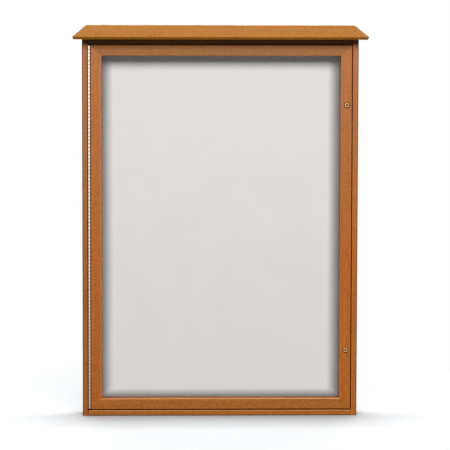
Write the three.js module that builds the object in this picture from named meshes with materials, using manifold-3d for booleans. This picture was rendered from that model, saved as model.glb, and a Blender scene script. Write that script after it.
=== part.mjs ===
import * as THREE from "three";
import { mergeVertices } from "three/addons/utils/BufferGeometryUtils.js";
import Module from "manifold-3d";

// A lockable notice board for a wall: a shallow case of plastic lumber boards under a hipped roof cap,
// with one inset glazed door on a continuous hinge and two cam locks.
// Sizes are in millimetres. Seen from the front, +X is to the right, +Y goes into the wall and +Z is up.
// The origin is the middle of the rear face of the back panel, where the board meets its wall.

const wasm = await Module();
wasm.setup();

// Clearances that many pieces share
const fit = 0.3;
const cutOverrun = 2;

// Case boards
const boardThickness = 19.05;
const headThickness = 15.9;
const boardChamfer = 1.6;
const panelRabbet = 9.5;
const panelThickness = 12.7;
const tackThickness = 12.4;
const tackEdgeGap = 1.5;
const noticeDepth = 25.4;

// Window opening and door
const windowWidth = 806;
const windowHeight = 1161;
const memberWidth = 38.1;
const doorThickness = 38.1;
const outerChamfer = 1;
const windowChamfer = 3;
const lipDepth = 19.05;
const glassRabbet = 9.5;
const gasketThickness = 1.6;
const gasketMargin = 1;
const paneThickness = 4.5;
const paneEdgeGap = 1.2;
const mitreGap = 0.2;
const gapAbove = 2.5;
const gapBelow = 4;
const gapBeside = 3;

// Strips that hold the tack board and stop the door
const stripToCamScrew = 1.9;
const sealThickness = 2.4;
const sealMargin = 2;

// Continuous hinge
const knucklePitch = 12.7;
const knuckleRadius = 4.2;
const knuckleGap = 0.4;
const leafThickness = 1.6;
const leafWidth = 32;
const pinRadius = 2.2;
const pinPlay = 0.35;
const pinProud = 1;
const pinForward = 1;
const knuckleSides = 8;
const boreSides = 6;

// Roof cap
const frontOverhang = 50.8;
const endOverhang = 31.3;
const noseHeight = 8.6;
const bevelRise = 38.4;
const bevelRun = 45;
const noseSlant = 4.4;

// Cam locks
const lockToRabbet = 2.6;
const lockFromWindowEnd = 164;
const barrelRadius = 9.5;
const barrelWall = 3.15;
const flangeReach = 0.8;
const flangeBevel = 1.7;
const flangeProud = 2.4;
const flangeEdge = 1;
const plugRecess = 0.4;
const keywayWidth = 1.8;
const keywayHeight = 8;
const keywayDepth = 12;
const nutWall = 1.5;
const nutThickness = 4.4;
const nutSides = 6;
const barrelPastNut = 1.4;
const tenonSize = 6.6;
const camThickness = 3;
const camWidth = 12.6;
const camBite = 10.5;
const camTipChamfer = 3;
const camHeadRadius = 4.6;
const camHeadHeight = 3;
const camShankRadius = 1.6;
const camShankLength = 9;
const camSideGap = 1.7;
const camEndGap = 2;
const notchEndGap = 6;
const lockSides = 20;

// Countersunk screws
const screwHeadRadius = 4.2;
const screwHeadDepth = 2.8;
const screwShankRadius = 2.1;
const screwTip = 4;
const screwSides = 10;
const longScrew = 50.8;
const shortScrew = 31.8;
const doorScrewInset = 14;

// Where the screws stand, as shares of the depth or of the inside width that they follow
const boardScrewShares = [0.25, 0.75];
const roofScrewShares = [-0.35, 0, 0.35];
const roofScrewDepthShare = 0.5;
const panelScrewShares = [-0.25, 0.25];

// Sizes that follow from those above
const doorWidth = windowWidth + 2 * memberWidth;
const doorHeight = windowHeight + 2 * memberWidth;
const hingeGap = 2 * (knuckleRadius + fit);
const insideWidth = hingeGap + doorWidth + gapBeside;
const insideHeight = gapBelow + doorHeight + gapAbove;
const caseWidth = insideWidth + 2 * boardThickness;
const caseHeight = boardThickness + insideHeight + headThickness;
const caseDepth = panelThickness + fit + tackThickness + noticeDepth + doorThickness;
const roofDepth = caseDepth + frontOverhang;
const knuckleCount = Math.floor(doorHeight / knucklePitch);
const hingeLength = knuckleCount * knucklePitch;
const boreRadius = (pinRadius + pinPlay) / Math.cos(Math.PI / boreSides);

// Planes of the case, from the wall forward and from the middle outwards
const caseFront = -caseDepth;
const doorBack = caseFront + doorThickness;
const panelFront = -panelThickness;
const tackBack = panelFront - fit;
const tackFront = tackBack - tackThickness;
const sealFront = doorBack + fit;
const sealBack = sealFront + sealThickness;
const stripFront = sealBack + fit;
const insideRight = insideWidth / 2;
const caseTop = caseHeight / 2;
const insideTop = caseTop - headThickness;
const insideBottom = insideTop - insideHeight;

// The middle of the hinge's pin, and planes of the door measured from it
const pinX = -insideRight + hingeGap / 2;
const pinY = caseFront - pinForward;
const pinZ = insideBottom + gapBelow + doorHeight / 2;
const doorLeft = hingeGap / 2;
const doorRight = doorLeft + doorWidth;
const doorTop = doorHeight / 2;

// The locks, measured from the front face of the door and up or down from its middle
const lockHeight = windowHeight / 2 - lockFromWindowEnd;
const lockInset = memberWidth - glassRabbet - lockToRabbet - barrelRadius;
const flangeRadius = barrelRadius + flangeReach;
const plugRadius = barrelRadius - barrelWall;
const nutAcrossFlats = 2 * (barrelRadius + nutWall);
const nutBack = doorThickness + fit + nutThickness;
const barrelEnd = nutBack + barrelPastNut;
const camFront = barrelEnd + fit;
const camBack = camFront + camThickness;
const lockToBoard = lockInset + gapBeside;
const lockX = insideRight - lockToBoard;
const camReach = lockToBoard + camBite;
const camTipHalf = camWidth / 2 - camTipChamfer;
const stripWidth = lockToBoard - camHeadRadius - stripToCamScrew - fit;

const right = new THREE.Vector3(1, 0, 0);
const left = right.clone().negate();
const back = new THREE.Vector3(0, 1, 0);
const up = new THREE.Vector3(0, 0, 1);
const down = up.clone().negate();

const finish = (color, roughness, metalness = 0) => () =>
  new THREE.MeshStandardMaterial({ color, roughness, metalness });
const lumber = finish(0xaa6630, 0.65);
const roofLumber = finish(0xc4823e, 0.65);
const sheet = finish(0x8d8a84, 0.8);
const tackCover = finish(0xdcdad6, 0.95);
const clearSheet = () =>
  new THREE.MeshStandardMaterial({ color: 0xf2f6f5, roughness: 0.05, transparent: true, opacity: 0.2 });
const hingeMetal = finish(0xc9b8a2, 0.35, 1);
const brass = finish(0xd7b987, 0.3, 1);
const steel = finish(0xb9bbbd, 0.35, 1);
const rubber = finish(0x1d1d1e, 0.9);

// Solids: a closed mesh with its shared vertices merged, and back again
function solidOf(geometry) {
  const bare = geometry.clone();
  bare.deleteAttribute("normal");
  bare.deleteAttribute("uv");
  const merged = mergeVertices(bare);
  return new wasm.Manifold(
    new wasm.Mesh({
      numProp: 3,
      vertProperties: merged.getAttribute("position").array,
      triVerts: new Uint32Array(merged.index.array),
    }),
  );
}

function geometryOf(solid) {
  const mesh = solid.getMesh();
  const geometry = new THREE.BufferGeometry();
  geometry.setAttribute("position", new THREE.BufferAttribute(mesh.vertProperties, 3));
  geometry.setIndex(new THREE.BufferAttribute(mesh.triVerts, 1));
  geometry.computeVertexNormals();
  return geometry;
}

// A piece's solid in the frame of the group that holds it
function placedSolid(piece) {
  piece.updateMatrix();
  return solidOf(piece.geometry.clone().applyMatrix4(piece.matrix));
}

// Cut each tool out of a piece that stands in the same group
function cut(piece, ...tools) {
  const solid = tools.reduce((rest, tool) => rest.subtract(placedSolid(tool)), placedSolid(piece));
  piece.geometry = geometryOf(solid).applyMatrix4(piece.matrix.clone().invert());
}

function add(group, name, piece) {
  piece.name = name;
  group.add(piece);
  return piece;
}

// Turn a piece so that its own X and Y run along two given directions
function turn(piece, first, second) {
  const third = new THREE.Vector3().crossVectors(first, second);
  piece.quaternion.setFromRotationMatrix(new THREE.Matrix4().makeBasis(first, second, third));
  return piece;
}

function shapeOf(points) {
  return new THREE.Shape(points.map(([x, y]) => new THREE.Vector2(x, y)));
}

function extrude(shape, depth) {
  return new THREE.ExtrudeGeometry(shape, { depth, bevelEnabled: false });
}

// A turned piece: its profile is given as radius and height along its own Y
function lathe(profile, sides) {
  return new THREE.LatheGeometry(
    profile.map(([r, y]) => new THREE.Vector2(r, y)),
    sides,
  );
}

// A rectangular piece between its lowest and its highest corner
function block(material, low, high) {
  const size = high.map((value, i) => value - low[i]);
  const piece = new THREE.Mesh(new THREE.BoxGeometry(...size), material());
  piece.position.set(...low.map((value, i) => (value + high[i]) / 2));
  return piece;
}

// The four sides of an upright rectangle, each from the corner where its length starts
function sidesOf(west, east, bottom, top) {
  return {
    left: { inward: right, x: west, z: bottom, length: top - bottom },
    top: { inward: down, x: west, z: top, length: east - west },
    right: { inward: left, x: east, z: top, length: top - bottom },
    bottom: { inward: up, x: east, z: bottom, length: east - west },
  };
}

// A bar along one side. Its outline goes inward from the outer edge and back from its front plane,
// and each end lies in from the corner by what endOf gives for a distance inward.
function bar(material, side, outline, frontPlane, endOf) {
  const geometry = extrude(shapeOf(outline), side.length);
  const place = geometry.getAttribute("position");
  for (let i = 0; i < place.count; i += 1) {
    const end = endOf(place.getX(i));
    place.setZ(i, place.getZ(i) > side.length / 2 ? side.length - end : end);
  }
  const piece = new THREE.Mesh(geometry, material());
  piece.position.set(side.x, frontPlane, side.z);
  return turn(piece, side.inward, back);
}

const mitred = (inward) => inward + mitreGap;
const squareAt = (setback) => () => setback;

// A countersunk screw that points down its own -Y, or the hole for it where a clearance is given
function screwGeometry(length, clearance = 0, overrun = 0) {
  const shank = screwShankRadius + clearance;
  const head = screwHeadRadius + clearance;
  const profile = [
    [0, -length - clearance],
    [shank, screwTip - length],
    [shank, -screwHeadDepth],
    [head, 0],
  ];
  if (overrun > 0) profile.push([head, overrun]);
  return lathe([...profile, [0, overrun]], screwSides);
}

// Drive a screw flush into the pieces that it joins, each of which gets the hole for it
function fasten(group, name, length, place, outward, joined) {
  const screw = new THREE.Mesh(screwGeometry(length), steel());
  const hole = new THREE.Mesh(screwGeometry(length, fit, cutOverrun));
  for (const piece of [screw, hole]) {
    piece.position.set(...place);
    piece.quaternion.setFromUnitVectors(back, outward);
  }
  add(group, name, screw);
  joined.forEach((piece) => cut(piece, hole));
}

const board = new THREE.Group();
const doorGroup = new THREE.Group();
doorGroup.position.set(pinX, pinY, pinZ);
board.add(doorGroup);

// Case: two full-height side boards with the head and sill boards between them
const boardRear = caseDepth - panelThickness - fit;
const sideOutline = [
  [boardChamfer, 0],
  [boardThickness - boardChamfer, 0],
  [boardThickness, boardChamfer],
  [boardThickness, boardRear],
  [boardThickness - panelRabbet, boardRear],
  [boardThickness - panelRabbet, caseDepth],
  [0, caseDepth],
  [0, boardChamfer],
];
const crossOutline = (thickness) => [
  [boardChamfer, 0],
  [thickness - boardChamfer, 0],
  [thickness, boardChamfer],
  [thickness, boardRear],
  [0, boardRear],
  [0, boardChamfer],
];
const caseSides = sidesOf(-caseWidth / 2, caseWidth / 2, -caseTop, caseTop);
const betweenSides = squareAt(boardThickness + fit);
const caseBoard = (side, outline, endOf) => bar(lumber, side, outline, caseFront, endOf);
const sideLeft = add(board, "side_board_left", caseBoard(caseSides.left, sideOutline, squareAt(0)));
const sideRight = add(board, "side_board_right", caseBoard(caseSides.right, sideOutline, squareAt(0)));
const headOutline = crossOutline(headThickness);
const sillOutline = crossOutline(boardThickness);
const headBoard = add(board, "head_board", caseBoard(caseSides.top, headOutline, betweenSides));
const sillBoard = add(board, "sill_board", caseBoard(caseSides.bottom, sillOutline, betweenSides));

// The roof cap: one profile seen from the front and one from the side, each run through the other.
// Below its bevels the nose slants in towards the underside.
function roofCap() {
  const halfWidth = caseWidth / 2 + endOverhang;
  const bottom = caseTop + fit;
  const noseTop = bottom + noseHeight;
  const top = noseTop + bevelRise;
  const fromFront = shapeOf([
    [noseSlant - halfWidth, bottom],
    [halfWidth - noseSlant, bottom],
    [halfWidth, noseTop],
    [halfWidth - bevelRun, top],
    [bevelRun - halfWidth, top],
    [-halfWidth, noseTop],
  ]);
  const fromSide = shapeOf([
    [0, bottom],
    [0, top],
    [bevelRun - roofDepth, top],
    [-roofDepth, noseTop],
    [noseSlant - roofDepth, bottom],
  ]);
  const alongDepth = turn(new THREE.Mesh(extrude(fromFront, roofDepth)), right, up);
  const alongWidth = turn(new THREE.Mesh(extrude(fromSide, 2 * halfWidth)), back, up);
  alongWidth.position.set(-halfWidth, 0, 0);
  const solid = placedSolid(alongDepth).intersect(placedSolid(alongWidth));
  return new THREE.Mesh(geometryOf(solid), roofLumber());
}
const roof = add(board, "roof_cap", roofCap());

// Back panel in the rabbets of the side boards, and the tack board in front of it
const panelReach = insideRight + panelRabbet - fit;
const backPanel = add(
  board,
  "back_panel",
  block(sheet, [-panelReach, panelFront, -caseTop], [panelReach, 0, caseTop]),
);
const tackReach = insideRight - tackEdgeGap;
add(
  board,
  "tack_board",
  block(
    tackCover,
    [-tackReach, tackFront, insideBottom + tackEdgeGap],
    [tackReach, tackBack, insideTop - tackEdgeGap],
  ),
);

// Strips round the inside of the case
const stripDepth = tackFront - fit - stripFront;
const stripOutline = [
  [0, 0],
  [stripWidth, 0],
  [stripWidth, stripDepth],
  [0, stripDepth],
];
const stripEast = insideRight - fit;
const stripTop = insideTop - fit;
const stripBottom = insideBottom + fit;
const stripSides = sidesOf(-stripEast, stripEast, stripBottom, stripTop);
const strip = (side, setback) => bar(lumber, side, stripOutline, stripFront, squareAt(setback));
const betweenStrips = stripWidth + fit;
add(board, "liner_strip_left", strip(stripSides.left, 0));
add(board, "liner_strip_top", strip(stripSides.top, betweenStrips));
const lockStrip = add(board, "liner_strip_right", strip(stripSides.right, 0));
add(board, "liner_strip_bottom", strip(stripSides.bottom, betweenStrips));

// Room for the cams: a notch in the strip, and a slot in the side board behind which a cam locks.
// The slot starts as low as the corner of a cam's tip swings into the board.
const notchBelow = camReach + notchEndGap;
const notchAbove = nutAcrossFlats / 2 + notchEndGap;
const notchFloor = caseFront + camBack + camSideGap;
const slotReach = lockX + camReach + camEndGap;
const slotAbove = camWidth / 2 + camSideGap;
const slotBelow = Math.sqrt(camReach ** 2 + camTipHalf ** 2 - lockToBoard ** 2) + camSideGap;
const slotFront = caseFront + camFront - camSideGap;
const slotBack = caseFront + camBack + camSideGap;
for (const z of [pinZ + lockHeight, pinZ - lockHeight]) {
  const notch = block(
    lumber,
    [stripEast - stripWidth - cutOverrun, stripFront - cutOverrun, z - notchBelow],
    [stripEast + cutOverrun, notchFloor, z + notchAbove],
  );
  const slot = block(
    lumber,
    [insideRight - cutOverrun, slotFront, z - slotBelow],
    [slotReach, slotBack, z + slotAbove],
  );
  cut(lockStrip, notch);
  cut(sideRight, slot);
}

// Weather seals on the strips, left out at the notches
const sealWidth = stripWidth - 2 * sealMargin;
const sealEast = stripEast - sealMargin;
const sealWest = sealEast - sealWidth;
const sealTop = stripTop - sealMargin;
const sealBottom = stripBottom + sealMargin;
const seal = (low, high) => block(rubber, [low[0], sealFront, low[1]], [high[0], sealBack, high[1]]);
add(board, "seal_left", seal([-sealEast, sealBottom], [-sealWest, sealTop]));
const sealAcross = sealWest - fit;
add(board, "seal_top", seal([-sealAcross, sealTop - sealWidth], [sealAcross, sealTop]));
add(board, "seal_bottom", seal([-sealAcross, sealBottom], [sealAcross, sealBottom + sealWidth]));
const sealStretches = {
  upper: [pinZ + lockHeight + notchAbove, sealTop],
  middle: [pinZ - lockHeight + notchAbove, pinZ + lockHeight - notchBelow],
  lower: [sealBottom, pinZ - lockHeight - notchBelow],
};
for (const [part, [bottom, top]] of Object.entries(sealStretches)) {
  add(board, `seal_right_${part}`, seal([sealWest, bottom], [sealEast, top]));
}

// Door: four mitred members with a rabbet behind for the pane
const memberOutline = [
  [outerChamfer, 0],
  [memberWidth - windowChamfer, 0],
  [memberWidth, windowChamfer],
  [memberWidth, lipDepth],
  [memberWidth - glassRabbet, lipDepth],
  [memberWidth - glassRabbet, doorThickness],
  [0, doorThickness],
  [0, outerChamfer],
];
const doorSides = sidesOf(doorLeft, doorRight, -doorTop, doorTop);
const memberNames = {
  left: "door_stile_hinge_side",
  right: "door_stile_lock_side",
  top: "door_rail_top",
  bottom: "door_rail_bottom",
};
const members = {};
for (const [side, name] of Object.entries(memberNames)) {
  members[side] = add(doorGroup, name, bar(lumber, doorSides[side], memberOutline, pinForward, mitred));
}

// Glazing: a gasket ring on the lip, the pane, and four beads behind it
const rabbetEdge = memberWidth - glassRabbet;
const rabbetWest = doorLeft + rabbetEdge;
const rabbetEast = doorRight - rabbetEdge;
const rabbetTop = doorTop - rabbetEdge;
const gasketFront = pinForward + lipDepth + fit;
const paneFront = gasketFront + gasketThickness + fit;
const paneBack = paneFront + paneThickness;
const beadFront = paneBack + fit;
const beadDepth = pinForward + doorThickness - beadFront;
const paneWest = rabbetWest + paneEdgeGap;
const paneEast = rabbetEast - paneEdgeGap;
const paneTop = rabbetTop - paneEdgeGap;
add(
  doorGroup,
  "window_pane",
  block(clearSheet, [paneWest, paneFront, -paneTop], [paneEast, paneBack, paneTop]),
);

function rectangle(west, east, top) {
  return [
    [west, -top],
    [east, -top],
    [east, top],
    [west, top],
  ];
}
const gasketShape = shapeOf(rectangle(paneWest, paneEast, paneTop));
const ringInner = glassRabbet - gasketMargin;
gasketShape.holes.push(
  shapeOf(rectangle(rabbetWest + ringInner, rabbetEast - ringInner, rabbetTop - ringInner)),
);
const gasket = turn(new THREE.Mesh(extrude(gasketShape, gasketThickness), rubber()), right, up);
gasket.position.set(0, gasketFront + gasketThickness, 0);
add(doorGroup, "glazing_gasket", gasket);

const beadOutline = [
  [fit, 0],
  [glassRabbet, 0],
  [glassRabbet, beadDepth],
  [fit, beadDepth],
];
const beadSides = sidesOf(rabbetWest, rabbetEast, -rabbetTop, rabbetTop);
for (const [side, place] of Object.entries(beadSides)) {
  add(doorGroup, `glazing_bead_${side}`, bar(lumber, place, beadOutline, beadFront, mitred));
}

// Continuous hinge. The knuckles take turns: even ones belong to the case leaf, odd ones to the door leaf.
function ring(radius, sides) {
  return Array.from({ length: sides }, (_, i) => {
    const angle = (2 * Math.PI * (i + 0.5)) / sides;
    return [radius * Math.cos(angle), radius * Math.sin(angle)];
  });
}

// A leaf's plate in the plane of Y and Z: straight at the back, cut back at the other leaf's knuckles
function leafShape(ownParity) {
  const relief = knuckleRadius + knuckleGap;
  const bottom = (knuckleGap - hingeLength) / 2;
  const points = [
    [leafWidth, bottom],
    [leafWidth, -bottom],
  ];
  for (let k = knuckleCount - 1; k >= 0; k -= 1) {
    const own = k % 2 === ownParity;
    const margin = own ? -knuckleGap / 2 : knuckleGap / 2;
    const low = k * knucklePitch - hingeLength / 2 - margin;
    const high = low + knucklePitch + 2 * margin;
    const edge = own ? 0 : relief;
    points.push([edge, Math.min(high, -bottom)], [edge, Math.max(low, bottom)]);
  }
  return shapeOf(points);
}

function hingeLeaf(ownParity, sideways) {
  const plate = turn(new THREE.Mesh(extrude(leafShape(ownParity), leafThickness)), back, up);
  plate.position.set(sideways > 0 ? knuckleRadius - leafThickness : -knuckleRadius, 0, 0);
  const section = shapeOf(ring(knuckleRadius / Math.cos(Math.PI / knuckleSides), knuckleSides));
  section.holes.push(shapeOf(ring(boreRadius, boreSides)));
  const knuckle = new THREE.Mesh(extrude(section, knucklePitch - knuckleGap));
  let solid = placedSolid(plate);
  for (let k = ownParity; k < knuckleCount; k += 2) {
    knuckle.position.set(0, 0, k * knucklePitch + (knuckleGap - hingeLength) / 2);
    solid = solid.add(placedSolid(knuckle));
  }
  return new THREE.Mesh(geometryOf(solid), hingeMetal());
}
const caseLeaf = add(board, "hinge_leaf_case", hingeLeaf(0, -1));
caseLeaf.position.set(pinX, pinY, pinZ);
add(doorGroup, "hinge_leaf_door", hingeLeaf(1, 1));
const pinGeometry = new THREE.CylinderGeometry(
  pinRadius,
  pinRadius,
  hingeLength + 2 * pinProud,
  knuckleSides,
);
const pin = turn(new THREE.Mesh(pinGeometry, steel()), right, up);
pin.position.set(pinX, pinY, pinZ);
add(board, "hinge_pin", pin);

// Cam locks. Each stands in its own group, whose Y axis is the lock's, from the front face of the door back.
const lockBore = plugRadius + fit;
const housingProfile = [
  [lockBore, barrelEnd],
  [lockBore, -flangeProud],
  [flangeRadius - flangeBevel, -flangeProud],
  [flangeRadius, flangeEdge - flangeProud],
  [flangeRadius, -fit],
  [barrelRadius, -fit],
  [barrelRadius, barrelEnd],
  [lockBore, barrelEnd],
];

function lockNut() {
  const shape = shapeOf(ring(nutAcrossFlats / 2 / Math.cos(Math.PI / nutSides), nutSides));
  shape.holes.push(shapeOf(ring((barrelRadius + fit) / Math.cos(Math.PI / lockSides), lockSides)));
  const nut = turn(new THREE.Mesh(extrude(shape, nutThickness), steel()), right, up);
  nut.position.set(0, nutBack, 0);
  return nut;
}

// The plug turns in the housing. Its front takes the key, and its square tenon carries the cam.
function lockPlug() {
  const faceY = plugRecess - flangeProud;
  const plug = new THREE.Mesh(
    lathe(
      [
        [0, faceY],
        [plugRadius, faceY],
        [plugRadius, barrelEnd],
        [0, barrelEnd],
      ],
      lockSides,
    ),
    brass(),
  );
  const half = tenonSize / 2;
  const tenon = block(brass, [-half, barrelEnd - cutOverrun, -half], [half, camBack, half]);
  plug.geometry = geometryOf(placedSolid(plug).add(placedSolid(tenon)));
  const keyway = block(
    brass,
    [-keywayWidth / 2, faceY - cutOverrun, -keywayHeight / 2],
    [keywayWidth / 2, faceY + keywayDepth, keywayHeight / 2],
  );
  const tapped = new THREE.Mesh(
    lathe(
      [
        [0, camBack - camShankLength - fit],
        [camShankRadius + fit, camBack - camShankLength - fit],
        [camShankRadius + fit, camBack + cutOverrun],
        [0, camBack + cutOverrun],
      ],
      boreSides,
    ),
  );
  cut(plug, keyway, tapped);
  return plug;
}

// The cam hangs down while unlocked, and its square hole sits on the tenon
function lockCam() {
  const half = camWidth / 2;
  const outline = [
    [-half, half],
    [half, half],
    [half, camTipChamfer - camReach],
    [camTipHalf, -camReach],
    [-camTipHalf, -camReach],
    [-half, camTipChamfer - camReach],
  ];
  const shape = shapeOf(outline);
  const hole = tenonSize / 2 + fit;
  shape.holes.push(shapeOf(rectangle(-hole, hole, hole)));
  const cam = turn(new THREE.Mesh(extrude(shape, camThickness), steel()), right, up);
  cam.position.set(0, camBack, 0);
  return cam;
}

const camScrewProfile = [
  [0, camBack - camShankLength],
  [camShankRadius, camBack - camShankLength],
  [camShankRadius, camBack + fit],
  [camHeadRadius, camBack + fit],
  [camHeadRadius, camBack + fit + camHeadHeight],
  [0, camBack + fit + camHeadHeight],
];
const doorHole = lathe(
  [
    [0, -cutOverrun],
    [barrelRadius + fit, -cutOverrun],
    [barrelRadius + fit, doorThickness + cutOverrun],
    [0, doorThickness + cutOverrun],
  ],
  lockSides,
);
const lockPlaces = { upper: lockHeight, lower: -lockHeight };
for (const [level, z] of Object.entries(lockPlaces)) {
  const lock = new THREE.Group();
  lock.position.set(doorRight - lockInset, pinForward, z);
  doorGroup.add(lock);
  add(lock, `${level}_lock_housing`, new THREE.Mesh(lathe(housingProfile, lockSides), brass()));
  add(lock, `${level}_lock_nut`, lockNut());
  add(lock, `${level}_lock_plug`, lockPlug());
  add(lock, `${level}_lock_cam`, lockCam());
  add(lock, `${level}_lock_cam_screw`, new THREE.Mesh(lathe(camScrewProfile, screwSides), steel()));
  const hole = new THREE.Mesh(doorHole);
  hole.position.copy(lock.position);
  cut(members.right, hole);
}

// Screws at the corners of the case, through the side boards into the ends of the head and sill boards
const crossMiddles = [
  [headBoard, caseTop - headThickness / 2],
  [sillBoard, boardThickness / 2 - caseTop],
];
let caseScrews = 0;
for (const [sideBoard, outward] of [
  [sideLeft, left],
  [sideRight, right],
]) {
  for (const [crossBoard, z] of crossMiddles) {
    for (const share of boardScrewShares) {
      caseScrews += 1;
      const place = [(outward.x * caseWidth) / 2, caseFront + share * boardRear, z];
      fasten(board, `case_screw_${caseScrews}`, longScrew, place, outward, [sideBoard, crossBoard]);
    }
  }
}

// Screws up through the head board into the roof cap
roofScrewShares.forEach((share, i) => {
  const place = [share * insideWidth, caseFront + roofScrewDepthShare * boardRear, insideTop];
  fasten(board, `roof_screw_${i + 1}`, shortScrew, place, down, [headBoard, roof]);
});

// Screws through the back panel into the head and sill boards
let panelScrews = 0;
for (const [crossBoard, z] of crossMiddles) {
  for (const share of panelScrewShares) {
    panelScrews += 1;
    const place = [share * insideWidth, 0, z];
    fasten(board, `panel_screw_${panelScrews}`, shortScrew, place, back, [backPanel, crossBoard]);
  }
}

// Screws through the mitres of the door, from its top and bottom edges down into the stiles
const doorMiddle = pinForward + doorThickness / 2;
let doorScrews = 0;
for (const [rail, outward] of [
  [members.top, up],
  [members.bottom, down],
]) {
  for (const [stile, x] of [
    [members.left, doorLeft + doorScrewInset],
    [members.right, doorRight - doorScrewInset],
  ]) {
    doorScrews += 1;
    const place = [x, doorMiddle, outward.z * doorTop];
    fasten(doorGroup, `door_screw_${doorScrews}`, longScrew, place, outward, [rail, stile]);
  }
}

export default board;
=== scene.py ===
"""A lockable notice board for a wall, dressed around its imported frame.

A shallow case of cedar-coloured plastic lumber stands under a hipped roof cap. A pale tack panel fills
its back, behind one glazed door that hangs on a continuous hinge and closes with two cam locks.
Lengths are in metres: +X to the right seen from the front, +Y into the wall and +Z up.
"""

import logging
import math
from abc import ABC, abstractmethod
from collections.abc import Callable, Iterable, Sequence
from dataclasses import dataclass, replace
from enum import Enum

import bmesh
import bpy
from mathutils import Matrix, Quaternion, Vector


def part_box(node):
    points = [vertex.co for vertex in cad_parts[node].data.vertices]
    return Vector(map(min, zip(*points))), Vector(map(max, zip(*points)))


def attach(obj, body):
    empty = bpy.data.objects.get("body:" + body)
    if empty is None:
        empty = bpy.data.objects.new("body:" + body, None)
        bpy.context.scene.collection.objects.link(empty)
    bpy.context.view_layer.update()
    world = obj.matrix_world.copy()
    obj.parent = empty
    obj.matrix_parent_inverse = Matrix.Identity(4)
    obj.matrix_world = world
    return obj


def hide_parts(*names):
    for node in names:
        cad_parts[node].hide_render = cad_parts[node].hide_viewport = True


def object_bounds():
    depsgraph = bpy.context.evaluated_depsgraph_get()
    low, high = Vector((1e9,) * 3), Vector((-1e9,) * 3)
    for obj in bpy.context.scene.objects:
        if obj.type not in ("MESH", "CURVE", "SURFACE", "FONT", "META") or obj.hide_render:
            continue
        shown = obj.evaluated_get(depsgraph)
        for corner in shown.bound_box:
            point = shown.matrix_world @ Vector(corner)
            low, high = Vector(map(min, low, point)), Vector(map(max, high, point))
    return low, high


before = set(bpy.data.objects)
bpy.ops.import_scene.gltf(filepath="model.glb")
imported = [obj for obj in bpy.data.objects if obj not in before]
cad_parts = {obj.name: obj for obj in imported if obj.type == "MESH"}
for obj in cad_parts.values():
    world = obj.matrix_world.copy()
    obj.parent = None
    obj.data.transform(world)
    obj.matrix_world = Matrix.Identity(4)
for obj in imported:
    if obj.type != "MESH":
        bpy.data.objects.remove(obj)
cad_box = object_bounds()

log = logging.getLogger("notice_board")

Edge = bmesh.types.BMEdge
Material = bpy.types.Material
Mesh = bmesh.types.BMesh
Piece = bpy.types.Object
Socket = bpy.types.NodeSocket

Pair = tuple[float, float]
Triple = tuple[float, float, float]
Colour = Triple
Outline = Sequence[Pair]

MM = 0.001
WELD = 0.005 * MM

# How far off a vertex of a turned circle may lie and still be found, in millimetres
SLACK = 0.05

# The number of faces round a small turned piece
SMALL_SIDES = 24

# The places of a board's materials: its faces, its edges painted lighter as wear and highlight, and its
# edges and window faces painted darker as dirt and shade. The roof's third is its nose's, painted darker
# as shade. A lock's second is its flange's and its third its keyway's, both painted dark as shade.
FACE, SECOND_PAINT, DARK_PAINT = range(3)


class Body(Enum):
    """The parts of the notice board that move against each other."""

    CASE = "case"
    DOOR = "door"
    UPPER_LOCK = "upper_lock"
    LOWER_LOCK = "lower_lock"


class Slot(Enum):
    """The material slots of the notice board."""

    CASE_LUMBER = "case_lumber"
    ROOF_LUMBER = "roof_lumber"
    DOOR_LUMBER = "door_lumber"
    BACK_SHEET = "back_sheet"
    TACK_PANEL = "tack_panel"
    CLEAR_PANE = "clear_pane"
    SEAL_RUBBER = "seal_rubber"
    HINGE_METAL = "hinge_metal"
    PIN_STEEL = "pin_steel"
    LOCK_BRASS = "lock_brass"
    LOCK_STEEL = "lock_steel"
    SCREW_STEEL = "screw_steel"


class Along(Enum):
    """The direction in which a grain or a brushing runs."""

    X = 0
    Y = 1
    Z = 2

    def scale(self, across: float, along: float) -> Triple:
        """The cells per metre along X, Y and Z, from those across the grain and along it."""
        return tuple(along if axis == self.value else across for axis in range(3))


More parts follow.
